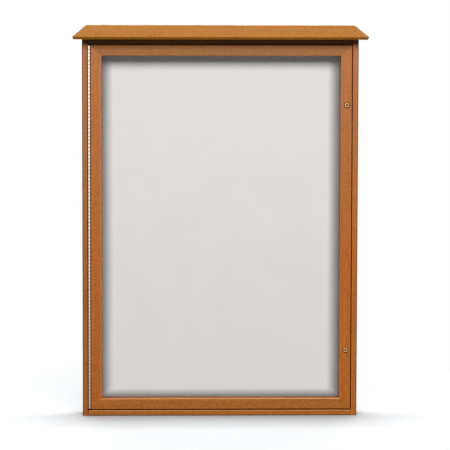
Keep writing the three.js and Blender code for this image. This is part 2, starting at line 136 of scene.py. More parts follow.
class Graph:
    """A node tree, built a node at a time."""

    def __init__(self, tree: bpy.types.NodeTree) -> None:
        """Starts with an empty tree."""
        self.tree = tree
        self.tree.nodes.clear()

    def node(self, kind: str, **settings: object) -> bpy.types.Node:
        """Adds a node.

        Args:
            kind: The node's type, without its ShaderNode prefix.
            **settings: The values of the node's properties.

        Returns:
            The new node.
        """
        made = self.tree.nodes.new("ShaderNode" + kind)
        for name, value in settings.items():
            setattr(made, name, value)
        return made

    def link(self, source: Socket, target: Socket) -> None:
        """Joins two sockets."""
        self.tree.links.new(source, target)

    def fill(self, socket: Socket, value: Socket | Colour | float) -> None:
        """Joins a socket to another, or sets it.

        Args:
            socket: The socket of a node's input.
            value: The socket that it is joined to, or its colour or its number.
        """
        if isinstance(value, Socket):
            self.link(value, socket)
        else:
            socket.default_value = (*value, 1.0) if isinstance(value, tuple) else value

    def place(self) -> list[Socket]:
        """Adds the X, Y and Z of a point in the piece's own coordinates.

        Returns:
            The three sockets.
        """
        parts = self.node("SeparateXYZ")
        self.link(self.node("TexCoord").outputs["Object"], parts.inputs[0])
        return list(parts.outputs)

    def noise(self, scale: Sequence[float], detail: float = 3.0) -> Socket:
        """Adds a noise pattern on the piece's own coordinates.

        Args:
            scale: Cells per metre along X, Y and Z.
            detail: Octaves of the noise.

        Returns:
            The socket that gives the noise, from 0 to 1.
        """
        mapping = self.node("Mapping")
        mapping.inputs["Scale"].default_value = scale
        self.link(self.node("TexCoord").outputs["Object"], mapping.inputs["Vector"])
        noise = self.node("TexNoise")
        noise.inputs["Scale"].default_value = 1.0
        noise.inputs["Detail"].default_value = detail
        self.link(mapping.outputs["Vector"], noise.inputs["Vector"])
        return noise.outputs["Fac"]

    def math(self, operation: str, first: Socket | float, second: Socket | float = 0.0) -> Socket:
        """Adds a sum of two sockets or numbers.

        Args:
            operation: The name of the sum, such as ADD.
            first: A socket or a number.
            second: A socket or a number.

        Returns:
            The socket that gives the result.
        """
        made = self.node("Math", operation=operation)
        self.fill(made.inputs[0], first)
        self.fill(made.inputs[1], second)
        return made.outputs[0]

    def total(self, sockets: Iterable[Socket], shares: Iterable[float]) -> Socket:
        """Adds up some sockets, each times its share.

        Args:
            sockets: The sockets.
            shares: The share of each.

        Returns:
            The socket that gives the sum.
        """
        whole, *others = (self.math("MULTIPLY", socket, share) for socket, share in zip(sockets, shares))
        for other in others:
            whole = self.math("ADD", whole, other)
        return whole

    def seen(self) -> Socket:
        """Adds the share of a white room that shows: all of it, but none to the light between matt surfaces.

        Returns:
            The socket that gives the share.
        """
        path = self.node("LightPath")
        shown = self.math("MAXIMUM", path.outputs["Is Camera Ray"], path.outputs["Is Glossy Ray"])
        shown = self.math("MAXIMUM", shown, path.outputs["Is Transmission Ray"])
        return self.math("MULTIPLY", shown, self.math("LESS_THAN", path.outputs["Diffuse Depth"], 0.5))

    def spread(
        self, source: Socket, low: float, high: float, to_low: float = 0.0, to_high: float = 1.0
    ) -> Socket:
        """Maps a range of a socket to another range, and clamps it.

        Args:
            source: The socket that is read.
            low: The value that gives to_low.
            high: The value that gives to_high.
            to_low: The result's lower end.
            to_high: The result's upper end.

        Returns:
            The socket that gives the result.
        """
        made = self.node("MapRange")
        for name, value in zip(("From Min", "From Max", "To Min", "To Max"), (low, high, to_low, to_high)):
            made.inputs[name].default_value = value
        self.link(source, made.inputs["Value"])
        return made.outputs["Result"]

    def rough(self, marks: Socket, roughness: float, change: Pair, span: Pair = (0.2, 0.8)) -> Socket:
        """Adds a roughness that some marks change, by one amount in their valleys and another on top."""
        return self.spread(marks, *span, roughness + change[0], roughness + change[1])

    def blend(self, share: Socket, first: Socket | Colour, second: Socket | Colour) -> Socket:
        """Mixes two colours.

        Args:
            share: The socket that gives the second colour's share.
            first: A colour or a colour socket.
            second: A colour or a colour socket.

        Returns:
            The socket that gives the mixed colour.
        """
        made = self.node("Mix", data_type="RGBA")
        self.link(share, made.inputs["Factor"])
        self.fill(made.inputs[6], first)
        self.fill(made.inputs[7], second)
        return made.outputs[2]

    def bump(self, height: Socket, depth: float, strength: float) -> Socket:
        """Adds a bump.

        Args:
            height: The socket that gives the height, from 0 to 1.
            depth: The height of 1, in metres.
            strength: The share of the bump that shows.

        Returns:
            The socket that gives the normal.
        """
        made = self.node("Bump")
        made.inputs["Distance"].default_value = depth
        made.inputs["Strength"].default_value = strength
        self.link(height, made.inputs["Height"])
        return made.outputs["Normal"]

    def principled(self, **values: Socket | Colour | float) -> Socket:
        """Adds the surface's shader and joins it to the output.

        Args:
            **values: Numbers, colours or sockets by the name of the shader's input, with _ for a space.

        Returns:
            The shader's socket.
        """
        shader = self.node("BsdfPrincipled")
        for name, value in values.items():
            self.fill(shader.inputs[name.replace("_", " ")], value)
        self.surface(shader.outputs["BSDF"])
        return shader.outputs["BSDF"]

    def mix(self, share: Socket, first: Socket, second: Socket) -> Socket:
        """Mixes two shaders.

        Args:
            share: The socket that gives the second shader's share.
            first: A shader's socket.
            second: A shader's socket.

        Returns:
            The socket of the mixed shader.
        """
        made = self.node("MixShader")
        for socket, source in zip(made.inputs, (share, first, second)):
            self.link(source, socket)
        return made.outputs[0]

    def surface(self, shader: Socket) -> None:
        """Joins a shader to the material's output.

        Args:
            shader: The shader's socket.
        """
        outputs = [node for node in self.tree.nodes if node.type == "OUTPUT_MATERIAL"]
        output = outputs[0] if outputs else self.node("OutputMaterial")
        self.link(shader, output.inputs["Surface"])


@dataclass(frozen=True)
class Finish(ABC):
    """A finish, of which a material is made."""

    name: str

    @abstractmethod
    def shade(self, graph: Graph) -> None:
        """Adds the finish's shader and patterns to its material's empty node tree."""

    def material(self) -> Material:
        """Makes the material.

        Returns:
            The material.
        """
        material = bpy.data.materials.new(self.name)
        material.use_nodes = True
        self.shade(Graph(material.node_tree))
        return material


@dataclass(frozen=True)
class Lumber(Finish):
    """Extruded plastic lumber with a brushed grain along each board: streaks, broad bands and faint spots.

    Streaks and bands are in cells per metre across the grain and along it. Towards the top the colour turns
    to another: a paler painted sheen by default, a darker painted shade on level boards.
    """

    light: Colour
    dark: Colour
    along: Along
    # Painted sheen on upright boards and painted shade on level ones, mixed in towards the top
    faded: Colour = (0.50, 0.25, 0.12)
    faded_share: float = 0.4
    top_sheen_shade_height: Pair = (-0.1, 0.66)
    roughness: float = 0.52
    roughness_change: Pair = (0.08, -0.06)
    gloss: float = 0.2
    streaks: Pair = (700.0, 1.0 / 0.06)
    bands: Pair = (95.0, 3.0)
    spots: float = 115.0
    grain_range: Pair = (0.3, 0.7)
    spot_range: Pair = (0.38, 0.62)
    shares: Triple = (0.35, 0.25, 0.4)
    grain_depth: float = 0.12 * MM

    def toned(self, ending: str, tone: float, **changes: float) -> "Lumber":
        """The same lumber in a paler or a darker tone.

        Args:
            ending: What its name gains.
            tone: What both colours are multiplied by.
            **changes: Other values that change.

        Returns:
            The new finish.
        """
        light, dark = (tuple(min(1.0, tone * c) for c in colour) for colour in (self.light, self.dark))
        return replace(self, name=self.name + ending, light=light, dark=dark, **changes)

    def rubbed_and_highlit(self) -> "Lumber":
        """The same lumber where its edges are rubbed smoother, and painted paler as a highlight."""
        return self.toned("_rubbed_and_highlit", tone=1.22, roughness=self.roughness - 0.14, gloss=0.45)

    def dirt_and_shade(self) -> "Lumber":
        """The same lumber much darker beside the gaps and round the window: dirt and painted shade."""
        return self.toned("_dirt_and_shade", tone=0.34, roughness=self.roughness + 0.1, faded_share=0.1)

    def shade(self, graph: Graph) -> None:
        """Adds the shader and its patterns.

        Args:
            graph: The material's node tree.
        """
        fine = graph.noise(self.along.scale(*self.streaks), detail=4.0)
        broad = graph.noise(self.along.scale(*self.bands), detail=2.0)
        mottle = graph.noise((self.spots,) * 3)
        grain = [graph.spread(pattern, *self.grain_range) for pattern in (fine, broad)]
        tone = graph.total([*grain, graph.spread(mottle, *self.spot_range)], self.shares)
        # Painted sheen on upright boards and painted shade on level boards, towards the top
        top_sheen_shading = graph.spread(graph.place()[2], *self.top_sheen_shade_height, 0.0, self.faded_share)
        graph.principled(
            Base_Color=graph.blend(top_sheen_shading, graph.blend(tone, self.dark, self.light), self.faded),
            Roughness=graph.rough(fine, self.roughness, self.roughness_change),
            Specular_IOR_Level=self.gloss,
            Normal=graph.bump(fine, self.grain_depth, strength=0.7),
        )


@dataclass(frozen=True)
class Metal(Finish):
    """A bare metal with clouded stains and fine marks from brushing, drawing or turning.

    Marks are in cells per metre across them and along them.
    """

    colour: Colour
    stain: Colour
    roughness: float
    along: Along = Along.Z
    roughness_change: Pair = (-0.06, 0.08)
    marks: Pair = (2500.0, 50.0)
    mark_depth: float = 0.02 * MM
    clouds: float = 60.0
    cloud_range: Pair = (0.45, 0.75)
    cloud_share: float = 0.6

    def stained(self, graph: Graph) -> Socket:
        """The share of the stain's colour."""
        clouds = graph.noise((self.clouds,) * 3, detail=4.0)
        return graph.spread(clouds, *self.cloud_range, 0.0, self.cloud_share)

    def coloured(self, graph: Graph) -> Socket:
        """The metal's colour with its stains."""
        return graph.blend(self.stained(graph), self.colour, self.stain)

    def shade(self, graph: Graph) -> None:
        """Adds the shader and its patterns.

        Args:
            graph: The material's node tree.
        """
        fine = graph.noise(self.along.scale(*self.marks), detail=2.0)
        graph.principled(
            Base_Color=self.coloured(graph),
            Metallic=1.0,
            Roughness=graph.rough(fine, self.roughness, self.roughness_change),
            Normal=graph.bump(fine, self.mark_depth, strength=0.5),
        )


@dataclass(frozen=True)
class HingeMetal(Metal):
    """The hinge's metal: stains, with painted shade towards its foot and on the knuckles' flanks and joins.

    The pin's X and Y and the Z of the lowest join say where the knuckles are. Each range of lengths goes
    from unshaded to shaded, but that of the joins.
    """

    pin: Pair = (0.0, 0.0)
    lowest_join: float = 0.0
    pitch: float = 12.7 * MM
    foot_shade_height: Pair = (0.6, -0.45)
    knuckle_shade: Colour = (0.09, 0.05, 0.03)
    flank_range: Pair = (2.3 * MM, 3.5 * MM)
    depth_range: Pair = (4.0 * MM, 2.0 * MM)
    join_range: Pair = (0.7 * MM, 3.0 * MM)
    join_shade: float = 0.42

    def coloured(self, graph: Graph) -> Socket:
        """Works out the metal's colour with its stains and its painted shade.

        Args:
            graph: The material's node tree.

        Returns:
            The socket that gives the colour.
        """
        x, y, z = graph.place()
        # Real stains, and painted shade that darkens the metal towards its foot
        stained = graph.math("MAXIMUM", self.stained(graph), graph.spread(z, *self.foot_shade_height))
        # Painted shade on the knuckles' flanks, beside the gaps, and at the joins between them
        beside = graph.math("ABSOLUTE", graph.math("SUBTRACT", x, self.pin[0]))
        behind = graph.math("SUBTRACT", y, self.pin[1])
        from_join = graph.math("PINGPONG", graph.math("SUBTRACT", z, self.lowest_join), self.pitch / 2)
        flank = graph.spread(beside, *self.flank_range)
        join = graph.spread(from_join, *self.join_range, self.join_shade, 0.0)
        in_front = graph.spread(behind, *self.depth_range)
        grimy = graph.math("MULTIPLY", graph.math("MAXIMUM", flank, join), in_front)
        return graph.blend(grimy, graph.blend(stained, self.colour, self.stain), self.knuckle_shade)


@dataclass(frozen=True)
class Weave(Finish):
    """A pale woven covering, glued over a soft board.

    Threads cross over and under, with slubs and a little soiling. Shade is painted along the window's
    sides and foot, whose places are given: the covering is darker there and under the frame.
    """

    light: Colour
    dark: Colour
    left: float
    right: float
    bottom: float
    edge_shade_tone: float = 0.27
    side_margin: float = 38 * MM
    bottom_margin: float = 24 * MM
    thread: float = 0.9 * MM
    thread_depth: float = 0.12 * MM
    slubs: Pair = (420.0, 40.0)
    soiling: float = 9.0
    soil_range: Pair = (0.3, 0.7)
    shares: Triple = (0.35, 0.35, 0.3)

    def shade(self, graph: Graph) -> None:
        """Adds the shader and its patterns.

        Args:
            graph: The material's node tree.
        """
        x, _, z = graph.place()
        waves = [graph.math("SINE", graph.math("MULTIPLY", place, math.pi / self.thread)) for place in (x, z)]
        weave = graph.spread(graph.math("MULTIPLY", *waves), -1.0, 1.0)
        noises = (graph.noise(Along.X.scale(*self.slubs)), graph.noise((self.soiling,) * 3))
        tone = graph.total([weave, *(graph.spread(noise, *self.soil_range) for noise in noises)], self.shares)
        # Painted shade: the covering darkens towards the window's sides and foot, and under the frame
        from_side = graph.math(
            "MINIMUM", graph.math("SUBTRACT", x, self.left), graph.math("SUBTRACT", self.right, x)
        )
        unshaded = graph.math(
            "MINIMUM",
            graph.spread(from_side, 0.0, self.side_margin),
            graph.spread(z, self.bottom, self.bottom + self.bottom_margin),
        )
        shaded = [tuple(self.edge_shade_tone * c for c in colour) for colour in (self.dark, self.light)]
        graph.principled(
            Base_Color=graph.blend(
                unshaded, graph.blend(tone, *shaded), graph.blend(tone, self.dark, self.light)
            ),
            Roughness=0.95,
            Sheen_Weight=0.15,
            Specular_IOR_Level=0.2,
            Normal=graph.bump(weave, self.thread_depth, strength=0.6),
        )


@dataclass(frozen=True)
class Rubber(Finish):
    """Foam rubber with fine open pores and a little dust."""

    colour: Colour
    pores: float = 900.0
    pore_depth: float = 0.2 * MM
    dust: float = 30.0
    dust_range: Pair = (0.4, 0.7)
    dust_tone: float = 0.03

    def shade(self, graph: Graph) -> None:
        """Adds the shader and its patterns.

        Args:
            graph: The material's node tree.
        """
        dust = graph.spread(graph.noise((self.dust,) * 3), *self.dust_range)
        graph.principled(
            Base_Color=graph.blend(dust, self.colour, tuple(c + self.dust_tone for c in self.colour)),
            Roughness=0.85,
            Specular_IOR_Level=0.3,
            Normal=graph.bump(graph.noise((self.pores,) * 3), self.pore_depth, strength=0.6),
        )


@dataclass(frozen=True)
class Sheet(Finish):
    """Plastic sheet with a pebbled texture and broad smudges."""

    light: Colour
    dark: Colour
    roughness: Pair = (0.55, 0.75)
    pebbles: float = 420.0
    pebble_range: Pair = (0.3, 0.7)
    pebble_depth: float = 0.25 * MM
    smudges: float = 6.0
    smudge_range: Pair = (0.35, 0.65)

    def shade(self, graph: Graph) -> None:
        """Adds the shader and its patterns.

        Args:
            graph: The material's node tree.
        """
        pebbles = graph.noise((self.pebbles,) * 3, detail=2.0)
        smudges = graph.noise((self.smudges,) * 3, detail=4.0)
        graph.principled(
            Base_Color=graph.blend(graph.spread(smudges, *self.smudge_range), self.dark, self.light),
            Roughness=graph.spread(pebbles, *self.pebble_range, *self.roughness),
            Normal=graph.bump(pebbles, self.pebble_depth, strength=0.6),
        )


@dataclass(frozen=True)
class Pane(Finish):
    """Clear plastic sheet, which lets the light of the lamps and of the room straight through."""

    tint: Colour
    refraction: float = 1.49

    def shade(self, graph: Graph) -> None:
        """Adds the shader and its patterns.

        Args:
            graph: The material's node tree.
        """
        surface = graph.principled(
            Base_Color=self.tint, Roughness=0.0, IOR=self.refraction, Transmission_Weight=1.0
        )
        clear = graph.node("BsdfTransparent")
        graph.fill(clear.inputs["Color"], self.tint)
        for ray in ("Is Diffuse Ray", "Is Shadow Ray"):
            surface = graph.mix(graph.node("LightPath").outputs[ray], surface, clear.outputs["BSDF"])
        graph.surface(surface)


@dataclass(frozen=True)
class FloorPaint(Finish):
    """The floor: white to the camera far from the case, with painted shade where it meets it, and dim to
    other light.

    It turns white over the given distances from the middle of the case.
    """

    white: Colour = (0.70, 0.725, 0.75)
    contact_reach: float = 0.16
    contact_tone: float = 0.7
    contact_samples: int = 8
    bounce: float = 0.03
    fade_range: Pair = (0.6, 1.5)

    def shade(self, graph: Graph) -> None:
        """Adds the shaders and mixes them.

        Args:
            graph: The material's node tree.
        """
        # Painted shade: an occlusion darkening of the floor where it meets the case
        near = graph.node("AmbientOcclusion", samples=self.contact_samples)
        near.inputs["Distance"].default_value = self.contact_reach
        contact_shade = tuple(self.contact_tone * c for c in self.white)
        lit, dim = graph.node("BsdfDiffuse"), graph.node("BsdfDiffuse")
        graph.fill(lit.inputs["Color"], graph.blend(near.outputs["AO"], contact_shade, self.white))
        graph.fill(dim.inputs["Color"], (self.bounce,) * 3)
        x, y, _ = graph.place()
        squares = [graph.math("MULTIPLY", place, place) for place in (x, y)]
        away = graph.math("SQRT", graph.math("ADD", *squares))
        far = graph.spread(away, *self.fade_range)
        shown = graph.mix(far, lit.outputs[0], graph.node("Emission").outputs[0])
        graph.surface(graph.mix(graph.seen(), dim.outputs[0], shown))


def corners(node: str) -> tuple[Vector, Vector]:
    """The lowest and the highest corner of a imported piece."""
    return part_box(node)


def window_box() -> tuple[Vector, Vector]:
    """Finds the opening between the door's members.

    Returns:
        Its lowest and its highest corner.
    """
    left, right = (corners(f"door_stile_{side}_side") for side in ("hinge", "lock"))
    bottom, top = (corners(f"door_rail_{side}") for side in ("bottom", "top"))
    return Vector((left[1].x, left[0].y, bottom[1].z)), Vector((right[0].x, left[1].y, top[0].z))


class Finishes:
    """Every material of the notice board, made once."""

    def __init__(self) -> None:
        """Makes the materials from their finishes."""
        level = Lumber(
            "case_lumber_level",
            light=(0.505, 0.175, 0.025),
            dark=(0.312, 0.091, 0.009),
            along=Along.X,
            # Level boards turn darker towards the top: painted shade of the roof
            faded=(0.27, 0.16, 0.095),
        )
        upright = Lumber(
            "case_lumber_upright", light=(0.568, 0.171, 0.022), dark=(0.350, 0.090, 0.009), along=Along.Z
        )
        roof = replace(
            level,
            name="roof_lumber",
            light=(0.372, 0.138, 0.010),
            dark=(0.234, 0.081, 0.005),
            faded_share=0.05,
            gloss=0.07,
        )
        self.level = self._set(level)
        self.upright = self._set(upright)
        self.by_side = {
            "left": self.upright, "right": self.upright, "top": self.level, "bottom": self.level
        }
        # The left board is painted darker: painted shade
        self.shaded_left_board = self._set(upright.toned("_left", tone=0.88))
        # The roof's nose gets a darker tone: painted shade
        self.roof = [*self._set(roof)[:DARK_PAINT], roof.toned("_nose", tone=0.93).material()]
        window_low, window_high = window_box()
        self.tack = Weave(
            "woven_covering",
            light=(0.87, 0.87, 0.875),
            dark=(0.80, 0.80, 0.80),
            left=window_low.x,
            right=window_high.x,
            bottom=window_low.z,
        ).material()
        self.sheet = Sheet("pebbled_sheet", light=(0.12, 0.105, 0.09), dark=(0.07, 0.062, 0.055)).material()
        self.pane = Pane("clear_sheet", tint=(0.985, 0.985, 0.98)).material()
        self.rubber = Rubber("foam_rubber", colour=(0.018, 0.018, 0.019)).material()
        pin = sum(corners("hinge_pin"), Vector()) / 2
        self.hinge = HingeMetal(
            "hinge_metal",
            colour=(1.0, 0.92, 0.83),
            stain=(0.57, 0.45, 0.33),
            roughness=0.34,
            pin=(pin.x, pin.y),
            lowest_join=corners("hinge_leaf_case")[0].z - Hinge.gap / 2,
            pitch=Hinge.pitch,
        ).material()
        self.pin = Metal("drawn_wire", (0.62, 0.60, 0.57), (0.40, 0.36, 0.30), 0.30).material()
        self.zinc = Metal("zinc_plate", (0.54, 0.54, 0.53), (0.40, 0.38, 0.34), 0.36).material()
        self.stainless = Metal("stainless", (0.60, 0.59, 0.57), (0.38, 0.35, 0.31), 0.30).material()
        brasses = (
            Metal("turned_brass", (0.85, 0.55, 0.26), (0.48, 0.28, 0.11), 0.32, Along.Y),
            # The flange's brass, painted dark as shade round the bright ring
            Metal("shade_painted_brass", (0.12, 0.060, 0.016), (0.07, 0.034, 0.009), 0.55, Along.Y),
            # The keyway's brass, painted dark as shade in the dish and the slot
            Metal("dark_keyway", (0.06, 0.035, 0.008), (0.03, 0.018, 0.006), 0.5, Along.Y),
        )
        self.lock = [brass.material() for brass in brasses]

    @staticmethod
    def _set(lumber: Lumber) -> list[Material]:
        """The materials of a board's faces, of its edges rubbed and painted lighter as highlight, and of
        those painted darker as dirt and shade.
        """
        return [finish.material() for finish in (lumber, lumber.rubbed_and_highlit(), lumber.dirt_and_shade())]


def finish_mesh(mesh: Mesh, name: str, angle: float = 35.0) -> Piece:
    """Turns a bmesh into an object at the origin, with smooth rounds and crisp edges.

    Args:
        mesh: The finished bmesh, which is freed.
        name: The object's name.
        angle: Edges sharper than this stay crisp, in degrees.

    Returns:
        The new object.
    """
    data = bpy.data.meshes.new(name)
    mesh.to_mesh(data)
    mesh.free()
    data.shade_smooth()
    data.set_sharp_from_angle(angle=math.radians(angle))
    made = bpy.data.objects.new(name, data)
    bpy.context.scene.collection.objects.link(made)
    return made


def mount(
    made: Piece, body: Body, materials: Iterable[Material], replaced: Sequence[str] = ()
) -> None:
    """Gives a piece its materials and the body that it moves with.

    Args:
        made: The piece.
        body: The body that carries it.
        materials: Its materials, in the order of its faces' indices.
        replaced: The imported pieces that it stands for.
    """
    for material in materials:
        made.data.materials.append(material)
    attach(made, body.value)
    if replaced:
        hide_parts(*replaced)
    log.info("%s rides on %s", made.name, body.value)


def merged_copy(node: str, flat: float = math.radians(0.6)) -> Mesh:
    """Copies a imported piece's loose triangles into a bmesh of whole flat faces.

    Args:
        node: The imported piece.
        flat: The greatest angle between triangles of one face.

    Returns:
        The bmesh.
    """
    mesh = bmesh.new()
    mesh.from_mesh(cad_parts[node].data)
    bmesh.ops.remove_doubles(mesh, verts=mesh.verts[:], dist=WELD)
    bmesh.ops.dissolve_limit(
        mesh, angle_limit=flat, use_dissolve_boundaries=False, verts=mesh.verts[:], edges=mesh.edges[:]
    )
    return mesh


def ease_edges(
    mesh: Mesh,
    radius: float,
    least: float = 0.0,
    segments: int = 3,
    wanted: Callable[[Edge], bool] = lambda edge: True,
    index: int = SECOND_PAINT,
    crease: float = math.radians(25.0),
) -> None:
    """Rounds the sharp edges of a piece and gives the rounds a material of their own.

    Args:
        mesh: The piece.
        radius: The width of the rounds.
        least: Shorter edges, such as those round a screw hole, stay as they are.
        segments: The number of faces across a round.
        wanted: Whether an edge is rounded.
        index: The index of the rounds' material.
        crease: The least angle of a sharp edge.
    """
    sharp = [
        edge
        for edge in mesh.edges
        if edge.is_manifold
        and edge.calc_face_angle() > crease
        and edge.calc_length() > least
        and wanted(edge)
    ]
    made = bmesh.ops.bevel(
        mesh,
        geom=sharp,
        offset=radius,
        offset_type="OFFSET",
        segments=segments,
        profile=0.5,
        affect="EDGES",
        clamp_overlap=True,
        material=-1,
    )
    for face in made["faces"]:
        face.material_index = index
    bmesh.ops.dissolve_degenerate(mesh, dist=WELD, edges=mesh.edges[:])


def paint(mesh: Mesh, index: int, wanted: Callable[[Vector], bool]) -> None:
    """Gives some faces a material.

    Args:
        mesh: The piece.
        index: The index of the material.
        wanted: Whether a face with its middle at a place gets it.
    """
    for face in mesh.faces:
        if wanted(face.calc_center_median()):
            face.material_index = index


def steady_shading(made: Piece) -> None:
    """Keeps large flat faces flat beside their rounds."""
    modifier = made.modifiers.new("steady_shading", "WEIGHTED_NORMAL")
    modifier.keep_sharp = True


def across_board(node: str) -> int:
    """The number of the axis, X or Z, that runs across the front of a board."""
    low, high = corners(node)
    return 2 if high.x - low.x > high.z - low.z else 0


def beside_front(node: str, inward: bool, reach: float = 4 * MM) -> Callable[[Edge], bool]:
    """Picks out the long edges of the chamfers beside a piece's front face.

    Args:
        node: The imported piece.
        inward: Whether they are those on the side of the window, or those on the other side.
        reach: How far behind the front face they lie at most.

    Returns:
        The rule that ease_edges reads.
    """
    low, high = corners(node)
    across = across_board(node)
    middle = (low[across] + high[across]) / 2

    def wanted(edge: Edge) -> bool:
        """Tells whether an edge is one of them.

        Args:
            edge: The edge.

        Returns:
            True if it is.
        """
        places = [vert.co for vert in edge.verts]
        sides = [place[across] for place in places]
        level = abs(sides[0] - sides[1]) < MM
        inner = abs(sides[0]) < abs(middle)
        return level and inner == inward and max(place.y for place in places) < low.y + reach

    return wanted


def eased_piece(
    node: str,
    body: Body,
    slot: Slot,
    materials: Sequence[Material],
    radius: float,
    least: float = 6 * MM,
    front: Pair = (0.0, 0.0),
    front_index: tuple[int, int] = (SECOND_PAINT, DARK_PAINT),
) -> None:
    """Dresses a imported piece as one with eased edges, in its own place.

    Args:
        node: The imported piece.
        body: The body that carries it.
        slot: Its material slot.
        materials: The materials of its faces and of its edges.
        radius: The radius of its edges.
        least: Shorter edges stay sharp.
        front: The width of the rounds that its front chamfers get, on the side of the window and on the
            other side, along their edges that are longer than eight times least.
        front_index: The indices of the materials of those rounds.
    """
    mesh = merged_copy(node)
    # A door member's face towards the window is painted darker: painted shade
    if slot is Slot.DOOR_LUMBER:
        across = across_board(node)
        border = min((corner[across] for corner in corners(node)), key=abs)
        paint(mesh, DARK_PAINT, lambda middle: abs(middle[across] - border) < 4 * WELD)
    for inward, width, index in zip((True, False), front, front_index):
        if width > 0.0:
            ease_edges(mesh, width, 8 * least, wanted=beside_front(node, inward), index=index)
    ease_edges(mesh, radius, least)
    made = finish_mesh(mesh, "dressed_" + node)
    steady_shading(made)
    mount(made, body, materials, [node])


@dataclass
class Roof:
    """The roof cap: one thick board with its front and both ends planed to a bevel."""

    node: str = "roof_cap"
    nose_height: float = 8.6 * MM
    nose_round: float = 1.6 * MM
    nose_segments: int = 5
    edge_round: float = 1.0 * MM
    shortest: float = 6 * MM

    def build(self, finishes: Finishes) -> None:
        """Rounds the cap's edges, the ones above its nose the most.

        Args:
            finishes: The materials.
        """
        nose_foot = corners(self.node)[0].z
        nose_top = nose_foot + self.nose_height
        mesh = merged_copy(self.node)
        # The nose is painted darker, as shade
        paint(mesh, DARK_PAINT, lambda middle: nose_foot < middle.z < nose_top)
        ease_edges(
            mesh,
            self.nose_round,
            self.shortest,
            self.nose_segments,
            lambda edge: all(abs(vert.co.z - nose_top) < MM for vert in edge.verts),
            FACE,
        )
        ease_edges(mesh, self.edge_round, self.shortest)
        made = finish_mesh(mesh, "dressed_" + self.node)
        steady_shading(made)
        mount(made, Body.CASE, finishes.roof, [self.node])


@dataclass
class Case:
    """The case: its boards, the back, the tack board and the strips with their seals."""

    board_round: float = 0.6 * MM
    board_front: Pair = (1.08 * MM, 1.08 * MM)
    strip_round: float = 0.8 * MM
    tack_round: float = 2.5 * MM
    seal_round: float = 1.0 * MM

    def build(self, finishes: Finishes) -> None:
        """Dresses every piece of the case.

        Args:
            finishes: The materials.
        """
        # The front rounds of each board are painted lighter, as wear and highlight, where they catch the
        # light, and darker, as dirt and shade, where they lie in shade
        boards = (
            ("side_board_left", finishes.shaded_left_board, (DARK_PAINT, DARK_PAINT)),
            ("side_board_right", finishes.upright, (SECOND_PAINT, DARK_PAINT)),
            ("head_board", finishes.level, (DARK_PAINT, DARK_PAINT)),
            ("sill_board", finishes.level, (SECOND_PAINT, DARK_PAINT)),
        )
        for node, lumber, index in boards:
            rounds = {"radius": self.board_round, "front": self.board_front, "front_index": index}
            eased_piece(node, Body.CASE, Slot.CASE_LUMBER, lumber, **rounds)
        for side, lumber in finishes.by_side.items():
            eased_piece("liner_strip_" + side, Body.CASE, Slot.CASE_LUMBER, lumber, self.strip_round)
        eased_piece("back_panel", Body.CASE, Slot.BACK_SHEET, [finishes.sheet] * 2, self.strip_round)
        eased_piece("tack_board", Body.CASE, Slot.TACK_PANEL, [finishes.tack] * 2, self.tack_round)
        for part in ("left", "top", "bottom", "right_upper", "right_middle", "right_lower"):
            node = "seal_" + part
            eased_piece(node, Body.CASE, Slot.SEAL_RUBBER, [finishes.rubber] * 2, self.seal_round, MM)


@dataclass
class Door:
    """The door: four mitred members round a pane, its gasket and its beads."""

    member_round: float = 0.4 * MM
    member_front: Pair = (2.0 * MM, 0.66 * MM)
    bead_round: float = 1.2 * MM
    pane_round: float = 0.5 * MM
    gasket_round: float = 0.4 * MM

    def build(self, finishes: Finishes) -> None:
        """Dresses every piece of the door.

        Args:
            finishes: The materials.
        """
        # Each member's window-side round is painted lighter, as wear and highlight; its outer one lighter
        # where it catches the light and darker, as dirt and shade, where it lies in shade
        members = (
            ("door_stile_hinge_side", finishes.upright, DARK_PAINT),
            ("door_stile_lock_side", finishes.upright, SECOND_PAINT),
            ("door_rail_top", finishes.level, DARK_PAINT),
            ("door_rail_bottom", finishes.level, SECOND_PAINT),
        )
        for node, lumber, outer in members:
            rounds = {"radius": self.member_round, "front": self.member_front, "front_index": (SECOND_PAINT, outer)}
            eased_piece(node, Body.DOOR, Slot.DOOR_LUMBER, lumber, **rounds)
        for side in ("top", "bottom", "left", "right"):
            lumber = finishes.by_side[side]
            eased_piece("glazing_bead_" + side, Body.DOOR, Slot.DOOR_LUMBER, lumber, self.bead_round)
        eased_piece("window_pane", Body.DOOR, Slot.CLEAR_PANE, [finishes.pane] * 2, self.pane_round)
        eased_piece("glazing_gasket", Body.DOOR, Slot.SEAL_RUBBER, [finishes.rubber] * 2, self.gasket_round)


def beside(corner: Pair, steps: Outline) -> list[Pair]:
    """The points of an outline that lie some steps from one of its corners."""
    return [(corner[0] + outward, corner[1] + upward) for outward, upward in steps]


def spin(
    mesh: Mesh, geom: list, angle: float, steps: int, merge: bool = False, climb: float = 0.0
) -> None:
    """Spins some vertices, edges and faces round the Z axis.

    Args:
        mesh: The bmesh that holds them.
        geom: The vertices, edges and faces.
        angle: How far they turn in all.
        steps: The number of steps.
        merge: Whether the last step closes on the first.
        climb: How far up each step goes, in metres.
    """
    bmesh.ops.spin(
        mesh,
        geom=geom,
        cent=(0, 0, 0),
        axis=(0, 0, 1),
        dvec=(0, 0, climb),
        angle=angle,
        steps=steps,
        use_merge=merge,
        use_duplicate=False,
    )


